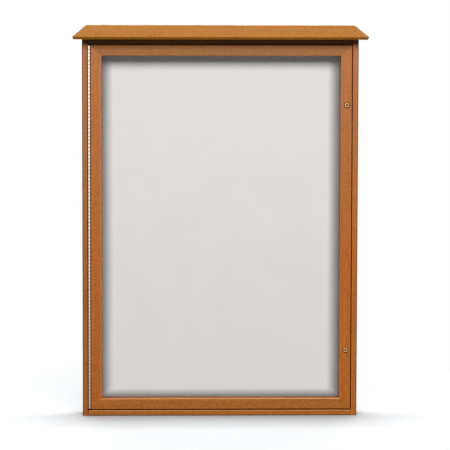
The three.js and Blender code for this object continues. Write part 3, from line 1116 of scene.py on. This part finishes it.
def turned(profile: Outline, sides: int = 2 * SMALL_SIDES) -> Mesh:
    """Turns a closed outline round the Z axis, as on a lathe.

    Args:
        profile: The outline's radii and heights in millimetres, in order round it. Where its ends lie on
            the axis it is left open there.
        sides: The number of faces round the axis.

    Returns:
        The closed bmesh.
    """
    mesh = bmesh.new()
    points = [mesh.verts.new((radius * MM, 0.0, height * MM)) for radius, height in profile]
    lines = [mesh.edges.new(pair) for pair in zip(points, points[1:])]
    if profile[0][0] > 0.0:
        lines.append(mesh.edges.new((points[-1], points[0])))
    spin(mesh, points + lines, math.tau, sides, merge=True)
    bmesh.ops.remove_doubles(mesh, verts=mesh.verts[:], dist=WELD)
    bmesh.ops.recalc_face_normals(mesh, faces=mesh.faces[:])
    return mesh


def reshape(mesh: Mesh, circles: Outline, rule: Callable[[float, float], float]) -> None:
    """Gives some of a turned piece's circles another outline.

    Args:
        mesh: The turned piece, round the Z axis.
        circles: The radii and heights of the circles, in millimetres.
        rule: The new radius at a radius and an angle, both lengths in millimetres.
    """
    radii, heights = zip(*circles)
    for vert in mesh.verts:
        radius, height = vert.co.xy.length / MM, vert.co.z / MM
        found = min(radii) - SLACK <= radius <= max(radii) + SLACK
        if found and min(heights) - SLACK <= height <= max(heights) + SLACK:
            longer = rule(radius, math.atan2(vert.co.y, vert.co.x)) / radius
            vert.co.x *= longer
            vert.co.y *= longer


def star(radius: float, angle: float, depth: float = 0.15) -> float:
    """The outline of a driver's six-lobed recess."""
    return radius * (1.0 + depth * math.cos(6.0 * angle))


def cross(radius: float, angle: float, depth: float = 0.38) -> float:
    """The outline of a driver's cross recess."""
    return radius * (1.0 - depth + depth * math.cos(4.0 * angle))


def polygon(flats: float, sides: int) -> Callable[[float, float], float]:
    """The outline of an even polygon.

    Args:
        flats: The distance from its middle to a flat, in millimetres.
        sides: The number of flats.

    Returns:
        The rule that reshape reads.
    """
    step = math.tau / sides

    def rule(radius: float, angle: float) -> float:
        """The distance from the middle to the outline."""
        return flats / math.cos((angle + step / 2) % step - step / 2)

    return rule


def keyhole(width: float, height: float) -> Callable[[float, float], float]:
    """The outline of an upright slot for a key.

    Args:
        width: Its width in millimetres.
        height: Its height in millimetres.

    Returns:
        The rule that reshape reads.
    """
    never_zero = 1e-6

    def rule(radius: float, angle: float) -> float:
        """The distance from the middle to the outline."""
        beyond, above = (max(abs(part), never_zero) for part in (math.cos(angle), math.sin(angle)))
        return min(width / 2 / beyond, height / 2 / above)

    return rule


@dataclass(frozen=True)
class Thread:
    """The thread of a turned piece, round the Z axis. Lengths in millimetres.

    It is sunk a little into its core and reaches to its crest, and fades out over a turn at both ends. Its
    foot is as wide as foot_share of a pitch to each side. Over the height of its point, if it has one, it
    narrows towards its far end, to least_share of its radius at most.
    """

    core: float
    crest: float
    pitch: float
    start: float
    end: float
    point: float = 0.0
    steps: int = 16
    sunk: float = 0.12
    foot_share: float = 0.42
    least_share: float = 0.12

    def wind(self, mesh: Mesh) -> None:
        """Winds the thread round a turned piece.

        Args:
            mesh: The piece.
        """
        foot = self.foot_share * self.pitch
        root = self.core - self.sunk
        points = [
            mesh.verts.new((radius * MM, 0.0, (self.start + rise) * MM))
            for radius, rise in ((root, -foot), (self.crest, 0.0), (root, foot))
        ]
        section = mesh.faces.new(points)
        count = round((self.end - self.start) / self.pitch * self.steps)
        before = set(mesh.faces) - {section}
        held = mesh.calc_volume(signed=True)
        geom = [section, *section.edges, *points]
        spin(mesh, geom, math.tau * count / self.steps, count, climb=self.pitch / self.steps * MM)
        wound = [face for face in mesh.faces if face not in before]
        for vert in {vert for face in wound for vert in face.verts}:
            radius, height = vert.co.xy.length / MM, vert.co.z / MM
            ahead, behind = height - self.start + foot, self.end + foot - height
            fade = min(1.0, max(0.0, ahead / self.pitch), max(0.0, behind / self.pitch))
            wanted = root + (radius - root) * fade
            if self.point > 0.0 and height > self.end - self.point:
                wanted *= max(self.least_share, behind / (self.point + foot))
            vert.co.x *= wanted / radius
            vert.co.y *= wanted / radius
        bmesh.ops.recalc_face_normals(mesh, faces=wound)
        if mesh.calc_volume(signed=True) < held:
            bmesh.ops.reverse_faces(mesh, faces=wound)


def point_along(mesh: Mesh, start: Vector, along: Vector) -> None:
    """Moves a turned piece so that its Z axis starts at a point and runs along a direction."""
    turned_to = Vector((0, 0, 1)).rotation_difference(along).to_matrix().to_4x4()
    bmesh.ops.transform(mesh, matrix=Matrix.Translation(start) @ turned_to, verts=mesh.verts[:])


def gather(meshes: Iterable[Mesh]) -> Mesh:
    """Puts several meshes into one, and frees them.

    Args:
        meshes: The meshes.

    Returns:
        The one mesh.
    """
    whole = bmesh.new()
    for mesh in meshes:
        part = bpy.data.meshes.new("part")
        mesh.to_mesh(part)
        mesh.free()
        whole.from_mesh(part)
        bpy.data.meshes.remove(part)
    return whole


@dataclass
class Hinge:
    """The continuous hinge: two leaves rolled in turns round one pin, and their small screws.

    The outlines of the screws are in millimetres, and all other lengths in metres.
    """

    pitch: float = 12.7 * MM
    radius: float = 4.2 * MM
    sheet: float = 1.6 * MM
    width: float = 32.0 * MM
    gap: float = 0.4 * MM
    edge: float = 0.22 * MM
    roll: float = math.radians(305.0)
    roll_steps: int = 16
    pin_crown: float = 0.5 * MM
    screw_pitch: float = 50.8 * MM
    screw_rows: Pair = (13.5 * MM, 24.0 * MM)
    recess_floor: Outline = ((0, 0.35),)
    recess: Outline = ((0.7, 0.3), (1.15, -0.35), (1.4, -0.62))
    screw_head: Outline = ((2.3, -0.5), (3.1, 0.0), (3.1, 0.3), (0, 1.2))

    def build(self, finishes: Finishes) -> None:
        """Rolls both leaves, turns the pin and drives the screws.

        Args:
            finishes: The materials.
        """
        low, high = corners("hinge_pin")
        axis = (low + high) / 2
        bottom, top = corners("hinge_leaf_case")
        length = top.z - bottom.z + self.gap
        for side, body, first, hand in (("case", Body.CASE, 0, -1.0), ("door", Body.DOOR, 1, 1.0)):
            leaf = self._leaf(round(length / self.pitch), first, hand)
            bmesh.ops.translate(leaf, verts=leaf.verts[:], vec=axis)
            made = finish_mesh(leaf, "rolled_leaf_" + side, angle=30.0)
            mount(made, body, [finishes.hinge], ["hinge_leaf_" + side])
            screws = self._screws(axis, length, hand)
            mount(finish_mesh(screws, "leaf_screws_" + side), body, [finishes.stainless])
        radius, half, crown = (high.x - low.x) / 2 / MM, (high.z - low.z) / 2 / MM, self.pin_crown / MM
        end = ((radius, half - crown), (radius - crown, half), (0, half))
        pin = turned([*((r, -h) for r, h in reversed(end)), *end], SMALL_SIDES)
        bmesh.ops.translate(pin, verts=pin.verts[:], vec=axis)
        mount(finish_mesh(pin, "drawn_pin"), Body.CASE, [finishes.pin], ["hinge_pin"])

    def _leaf(self, count: int, first: int, hand: float) -> Mesh:
        """Cuts one leaf out of a strip of sheet, rolls its knuckles and gives it its thickness.

        Args:
            count: The number of knuckles of both leaves.
            first: The number of this leaf's lowest knuckle.
            hand: The side of the pin on which the leaf's plate lies, as a sign of X.

        Returns:
            The leaf, round a pin along the Z axis through the origin.
        """
        inside = self.radius - self.sheet
        relief = self.radius + self.gap
        base, margin = -count * self.pitch / 2, self.gap / 2
        own = [
            (base + k * self.pitch + margin, base + (k + 1) * self.pitch - margin)
            for k in range(first, count, 2)
        ]
        heights = sorted({base + margin, -base - margin, *(height for pair in own for height in pair)})
        mesh = bmesh.new()
        last = mesh.verts.new((inside, relief, heights[0]))
        rim = []
        for height in heights[1:]:
            made = bmesh.ops.extrude_vert_indiv(mesh, verts=[last])
            last = made["verts"][0]
            last.co.z = height
            rim += made["edges"]
        tabs = [
            edge for edge in rim if any(abs(min(v.co.z for v in edge.verts) - low) < WELD for low, _ in own)
        ]
        self._draw_out(mesh, rim, (0.0, self.width - relief, 0.0))
        ends = self._draw_out(mesh, tabs, (0.0, -relief, 0.0))
        spin(mesh, ends + list({v for edge in ends for v in edge.verts}), -self.roll, self.roll_steps)
        bmesh.ops.recalc_face_normals(mesh, faces=mesh.faces[:])
        plate = max(mesh.faces, key=lambda face: face.calc_area())
        if plate.normal.x < 0.0:
            bmesh.ops.reverse_faces(mesh, faces=mesh.faces[:])
        bmesh.ops.solidify(mesh, geom=mesh.faces[:], thickness=-self.sheet)
        if hand < 0.0:
            bmesh.ops.scale(mesh, vec=(-1.0, 1.0, 1.0), verts=mesh.verts[:])
        bmesh.ops.recalc_face_normals(mesh, faces=mesh.faces[:])
        ease_edges(mesh, self.edge, segments=1, index=FACE)
        return mesh

    @staticmethod
    def _draw_out(mesh: Mesh, edges: list[Edge], way: Sequence[float]) -> list[Edge]:
        """Draws sheet out of a row of edges.

        Args:
            mesh: The sheet.
            edges: The edges that it grows from.
            way: How far and where to.

        Returns:
            The edges at the new end.
        """
        made = bmesh.ops.extrude_edge_only(mesh, edges=edges)["geom"]
        verts = [item for item in made if isinstance(item, bmesh.types.BMVert)]
        bmesh.ops.translate(mesh, verts=verts, vec=way)
        ends = set(verts)
        return [item for item in made if isinstance(item, Edge) and set(item.verts) <= ends]

    def _screws(self, axis: Vector, length: float, hand: float) -> Mesh:
        """Drives two rows of small oval-headed screws through a leaf.

        Args:
            axis: The middle of the pin.
            length: The length of the hinge.
            hand: The side of the pin on which the leaf's plate lies.

        Returns:
            The screws as one mesh.
        """
        made = []
        for number in range(int(length / self.screw_pitch)):
            screw = turned([*self.recess_floor, *self.recess, *self.screw_head], SMALL_SIDES)
            reshape(screw, self.recess, cross)
            height = (number + 0.5) * self.screw_pitch - length / 2
            place = Vector(((self.radius - self.sheet) * hand, self.screw_rows[number % 2], height))
            point_along(screw, axis + place, Vector((hand, 0.0, 0.0)))
            made.append(screw)
        return gather(made)


@dataclass
class CamLock:
    """A cam lock: the housing with its nut, and the plug that turns the cam. Lengths in millimetres.

    Depths count from the front face of the door into it. The steps beside a corner round an edge there.
    """

    level: str
    turning: Body
    face: float = -2.4
    ring: Pair = (6.85, 7.25)
    ring_steps: Outline = ((0.25, 0.12), (0.4, 0.42))
    flange: float = 10.3
    flange_steps: Outline = ((-0.45, 1.15), (-0.1, 1.4), (0.0, 1.75))
    seat: float = -0.3
    barrel: float = 9.5
    barrel_end: float = 44.2
    barrel_edge: float = 0.4
    thread_pitch: float = 1.5
    thread_depth: float = 0.6
    thread_start: float = 2.0
    thread_margin: float = 0.8
    bore: float = 6.6
    plug: float = 6.35
    plug_inset: float = 0.4
    dish: float = 4.15
    dish_depth: float = 1.4
    dish_steps: Outline = ((0.15, 0.12), (0.35, 0.0))
    fine_edge: float = 0.1
    edge: float = 0.25
    deep_edge: float = 0.3
    key_circle: float = 1.0
    key_slot: Pair = (1.8, 7.6)
    key_depth: float = 10.0
    dark_depth: float = 11.0
    nut_flats: float = 11.0
    nut_span: Pair = (38.4, 42.8)
    nut_edge: float = 0.7
    nut_gap: float = 0.05
    tenon: float = 3.3
    tenon_circle: float = 4.0
    cam_span: Pair = (44.5, 47.5)
    cam_round: float = 0.35
    hole: float = 1.8
    hole_span: Pair = (37.8, 38.3)
    screw: float = 1.45
    screw_crest: float = 1.75
    screw_pitch: float = 0.8
    screw_end: float = 38.8
    head: float = 4.6
    head_height: float = 3.0
    head_steps: Outline = ((0.0, 0.25), (0.0, 1.5), (-0.35, 2.2), (-1.3, 2.8), (-2.0, 3.0))
    recess: Outline = ((2.1, 0.0), (1.95, -0.15), (1.85, -1.6))
    recess_floor: Outline = ((0.7, -1.8), (0.0, -1.85))

    def build(self, finishes: Finishes) -> None:
        """Makes each piece on the lock's axis.

        Args:
            finishes: The materials.
        """
        pieces = (
            ("housing", self._housing(), Body.DOOR, Slot.LOCK_BRASS, finishes.lock),
            ("plug", self._plug(), self.turning, Slot.LOCK_BRASS, finishes.lock),
            ("nut", self._nut(), Body.DOOR, Slot.LOCK_STEEL, [finishes.zinc]),
            ("cam_screw", self._cam_screw(), self.turning, Slot.SCREW_STEEL, [finishes.stainless]),
        )
        low, high = corners(f"{self.level}_lock_housing")
        front = corners("door_stile_lock_side")[0].y
        start = Vector(((low.x + high.x) / 2, front, (low.z + high.z) / 2))
        for part, mesh, body, slot, materials in pieces:
            point_along(mesh, start, Vector((0.0, 1.0, 0.0)))
            node = f"{self.level}_lock_{part}"
            mount(finish_mesh(mesh, "turned_" + node, angle=28.0), body, materials, [node])
        cam, zinc = f"{self.level}_lock_cam", [finishes.zinc] * 2
        eased_piece(cam, self.turning, Slot.LOCK_STEEL, zinc, self.cam_round * MM, MM)

    def _housing(self) -> Mesh:
        """Turns the flange and the barrel, and winds the thread round the barrel.

        Returns:
            The housing, round the Z axis.
        """
        inner, outer = self.ring
        core, end = self.barrel - self.thread_depth, self.barrel_end
        mesh = turned(
            [
                (self.bore, self.face + self.deep_edge),
                (inner, self.face),
                (outer, self.face),
                *beside((outer, self.face), self.ring_steps),
                *beside((self.flange, self.face), self.flange_steps),
                (self.flange, self.seat),
                (core, self.seat),
                (core, end - self.barrel_edge),
                (core - self.barrel_edge, end),
                (self.bore, end),
            ]
        )
        span = (self.thread_start, end - self.thread_margin)
        Thread(core, self.barrel, self.thread_pitch, *span, steps=SMALL_SIDES).wind(mesh)
        # Painted shade: the flange outside the bright ring gets the dark brass
        rim = (inner + self.fine_edge) * MM
        paint(mesh, SECOND_PAINT, lambda middle: middle.z < 0.0 and middle.xy.length > rim)
        return mesh

    def _plug(self) -> Mesh:
        """Turns the plug, dishes its front round the key slot and squares its tenon.

        Returns:
            The plug, round the Z axis.
        """
        front, floor = self.face + self.plug_inset, self.face + self.dish_depth
        end, back = self.barrel_end, self.cam_span[1]
        fine, edge, deep = self.fine_edge, self.edge, self.deep_edge
        key = [
            (self.key_circle, self.key_depth),
            (self.key_circle, floor + 2 * fine),
            (self.key_circle + fine, floor),
        ]
        tenon = [
            (self.tenon_circle, end),
            (self.tenon_circle, back - edge),
            (self.tenon_circle - 2 * fine, back),
        ]
        mesh = turned(
            [
                (0, self.key_depth),
                *key,
                (self.dish - fine, floor),
                (self.dish, floor - fine),
                *beside((self.dish, front), self.dish_steps),
                (self.plug - edge, front),
                (self.plug, front + edge),
                (self.plug, end - deep),
                (self.plug - deep, end),
                *tenon,
                (self.hole + edge, back),
                (self.hole, back - deep),
                (self.hole, self.hole_span[1]),
                (0, self.hole_span[0]),
            ]
        )
        reshape(mesh, key, keyhole(*self.key_slot))
        reshape(mesh, tenon, polygon(self.tenon, 4))
        # Painted shade: the dish and the key slot get the darkest brass
        deepest, widest = self.dark_depth * MM, (self.dish + 2 * fine) * MM
        paint(mesh, DARK_PAINT, lambda middle: middle.z < deepest and middle.xy.length < widest)
        return mesh

    def _nut(self) -> Mesh:
        """Turns the nut and gives it its six flats, with rounded corners at both ends.

        Returns:
            The nut, round the Z axis.
        """
        low, high = self.nut_span
        bore, round_end = self.barrel + self.nut_gap, self.nut_flats - self.nut_gap
        corner = self.nut_flats + self.fine_edge
        flats = [(corner, low + self.nut_edge), (corner, high - self.nut_edge)]
        mesh = turned(
            [
                (bore, low + self.barrel_edge),
                (bore + self.barrel_edge, low),
                (round_end, low),
                *flats,
                (round_end, high),
                (bore + self.barrel_edge, high),
                (bore, high - self.barrel_edge),
            ]
        )
        reshape(mesh, flats, polygon(self.nut_flats, 6))
        return mesh

    def _cam_screw(self) -> Mesh:
        """Turns the screw that holds the cam on the plug.

        Returns:
            The screw, round the Z axis.
        """
        under = self.cam_span[1] + self.deep_edge
        top = under + self.head_height
        recess = beside((0.0, top), self.recess)
        mesh = turned(
            [
                (0, self.screw_end),
                (self.screw - self.edge, self.screw_end),
                (self.screw, self.screw_end + self.deep_edge),
                (self.screw, under),
                (self.head - self.edge, under),
                *beside((self.head, under), self.head_steps),
                *recess,
                *beside((0.0, top), self.recess_floor),
            ]
        )
        reshape(mesh, recess, star)
        span = (self.screw_end + 2 * self.deep_edge, under - self.thread_margin)
        Thread(self.screw, self.screw_crest, self.screw_pitch, *span).wind(mesh)
        return mesh


@dataclass
class DeckScrew:
    """A countersunk deck screw with a star recess, in the place of a packed screw. Lengths in millimetres."""

    node: str
    body: Body
    outward: Vector
    recess_floor: Outline = ((0, 2.0), (0.8, 1.95))
    recess: Outline = ((1.6, 1.75), (1.72, 0.12), (1.85, 0.0))
    head: float = 4.2
    head_steps: Outline = ((-0.12, 0.0), (0.0, 0.12), (0.0, 0.35))
    neck: Pair = (2.45, 2.15)
    shank: float = 1.55
    shank_start: float = 3.2
    crest: float = 2.1
    pitch: float = 2.5
    tip: float = 5.0
    thread_inset: float = 0.1
    thread_share: float = 0.34
    thread_margin: float = 0.4
    thread_steps: int = 12

    def build(self, finishes: Finishes) -> None:
        """Turns the head and the shank, and winds the thread.

        Args:
            finishes: The materials.
        """
        low, high = corners(self.node)
        middle, half = (low + high) / 2, (high - low) / 2
        reach = abs(half.dot(self.outward))
        length = 2 * reach / MM
        mesh = turned(
            [
                *self.recess_floor,
                *self.recess,
                *beside((self.head, 0.0), self.head_steps),
                self.neck,
                (self.shank, self.shank_start),
                (self.shank, length - self.tip),
                (0, length),
            ],
            SMALL_SIDES,
        )
        reshape(mesh, self.recess, star)
        span = (self.thread_share * length, length - self.thread_margin)
        core = self.shank - self.thread_inset
        Thread(core, self.crest, self.pitch, *span, self.tip, self.thread_steps).wind(mesh)
        point_along(mesh, middle + self.outward * reach, -self.outward)
        made = finish_mesh(mesh, "turned_" + self.node, angle=28.0)
        mount(made, self.body, [finishes.stainless], [self.node])


def deck_screws() -> list[DeckScrew]:
    """Lists every deck screw, pointing away from the face that it was driven into.

    Returns:
        The screws.
    """
    groups = (
        ("case_screw", Body.CASE, lambda place: (math.copysign(1, place.x), 0, 0)),
        ("door_screw", Body.DOOR, lambda place: (0, 0, math.copysign(1, place.z))),
        ("roof_screw", Body.CASE, lambda place: (0, 0, -1)),
        ("panel_screw", Body.CASE, lambda place: (0, 1, 0)),
    )
    return [
        DeckScrew(node, body, Vector(outward(corners(node)[0])))
        for start, body, outward in groups
        for node in sorted(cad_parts)
        if node.startswith(start)
    ]


@dataclass(frozen=True)
class Lamp:
    """A soft rectangular lamp that faces a point, with its width and height and its power in watts."""

    name: str
    place: Triple
    target: Triple
    size: Pair
    power: float
    white: Colour = (1.0, 0.985, 0.965)

    def hang(self) -> None:
        """Hangs the lamp."""
        data = bpy.data.lights.new(self.name, "AREA")
        data.shape = "RECTANGLE"
        data.size, data.size_y = self.size
        data.energy = self.power
        data.color = self.white
        lamp = bpy.data.objects.new(self.name, data)
        bpy.context.scene.collection.objects.link(lamp)
        aimed = (Vector(self.target) - Vector(self.place)).to_track_quat("-Z", "Y")
        lamp.matrix_world = Matrix.LocRotScale(Vector(self.place), aimed, None)


@dataclass
class Studio:
    """The plain studio: a pale floor, soft lamps and the camera of the photograph.

    The front lamp draws the roof's shadow, one hangs overhead and a low one stands behind.
    """

    picture: float = 450.0
    sensor: float = 36.0
    focal_pixels: float = 2643.6
    eye: Triple = (-0.2311, -9.0, 0.8118)
    aim: Triple = (0.0189, 0.0, 0.0046)
    roll: float = 0.0021
    sight: float = 100.0
    floor_size: float = 40.0
    room_white: Colour = (0.96, 0.98, 1.0)
    room_light: float = 0.025
    lamps: tuple[Lamp, ...] = (
        Lamp("front_box", (0.5, -9.0, 5.4), (0.0, 0.0, -0.2), (10.0, 4.4), 1240.0),
        Lamp("top_box", (0.0, 0.65, 9.0), (0.0, 0.65, 0.0), (4.0, 1.8), 650.0),
        Lamp("back_box", (0.0, 6.0, 2.6), (0.0, 0.0, -0.5), (8.0, 1.8), 380.0),
    )

    def build(self) -> None:
        """Sets up the camera, the floor, the world and the lamps."""
        self._camera()
        self._floor()
        self._world()
        for lamp in self.lamps:
            lamp.hang()
        bpy.context.scene.view_settings.view_transform = "Standard"

    def _camera(self) -> None:
        """Places the camera where the photograph was taken from."""
        data = bpy.data.cameras.new("camera")
        data.sensor_width = self.sensor
        data.lens = self.focal_pixels / self.picture * self.sensor
        data.clip_end = self.sight
        camera = bpy.data.objects.new("camera", data)
        bpy.context.scene.collection.objects.link(camera)
        eye, aim = Vector(self.eye), Vector(self.aim)
        aimed = (aim - eye).to_track_quat("-Z", "Y") @ Quaternion((0, 0, 1), self.roll)
        camera.matrix_world = Matrix.LocRotScale(eye, aimed, None)
        bpy.context.scene.camera = camera

    def _floor(self) -> None:
        """Lays the floor right under the case."""
        mesh = bmesh.new()
        bmesh.ops.create_grid(mesh, x_segments=1, y_segments=1, size=self.floor_size / 2)
        bmesh.ops.translate(mesh, verts=mesh.verts[:], vec=(0, 0, cad_box[0].z))
        floor = finish_mesh(mesh, "floor")
        floor.data.materials.append(FloorPaint("floor_paint").material())

    def _world(self) -> None:
        """Fills the room with a little soft light, and shows white to camera, metal and pane."""
        world = bpy.data.worlds.new("studio")
        world.use_nodes = True
        bpy.context.scene.world = world
        graph = Graph(world.node_tree)
        soft, white = graph.node("Background"), graph.node("Background")
        graph.fill(soft.inputs["Color"], self.room_white)
        graph.fill(soft.inputs["Strength"], self.room_light)
        graph.fill(white.inputs["Color"], (1.0, 1.0, 1.0))
        graph.fill(white.inputs["Strength"], 1.0)
        room = graph.mix(graph.seen(), soft.outputs[0], white.outputs[0])
        graph.link(room, graph.node("OutputWorld").inputs["Surface"])


def main() -> None:
    """Builds the notice board and its studio."""
    Studio().build()
    finishes = Finishes()
    Case().build(finishes)
    Roof().build(finishes)
    Door().build(finishes)
    Hinge().build(finishes)
    for level, turning in (("upper", Body.UPPER_LOCK), ("lower", Body.LOWER_LOCK)):
        CamLock(level, turning).build(finishes)
    for screw in deck_screws():
        screw.build(finishes)


if __name__ == "__main__":
    logging.basicConfig(level=logging.INFO, format="%(message)s")
    main()
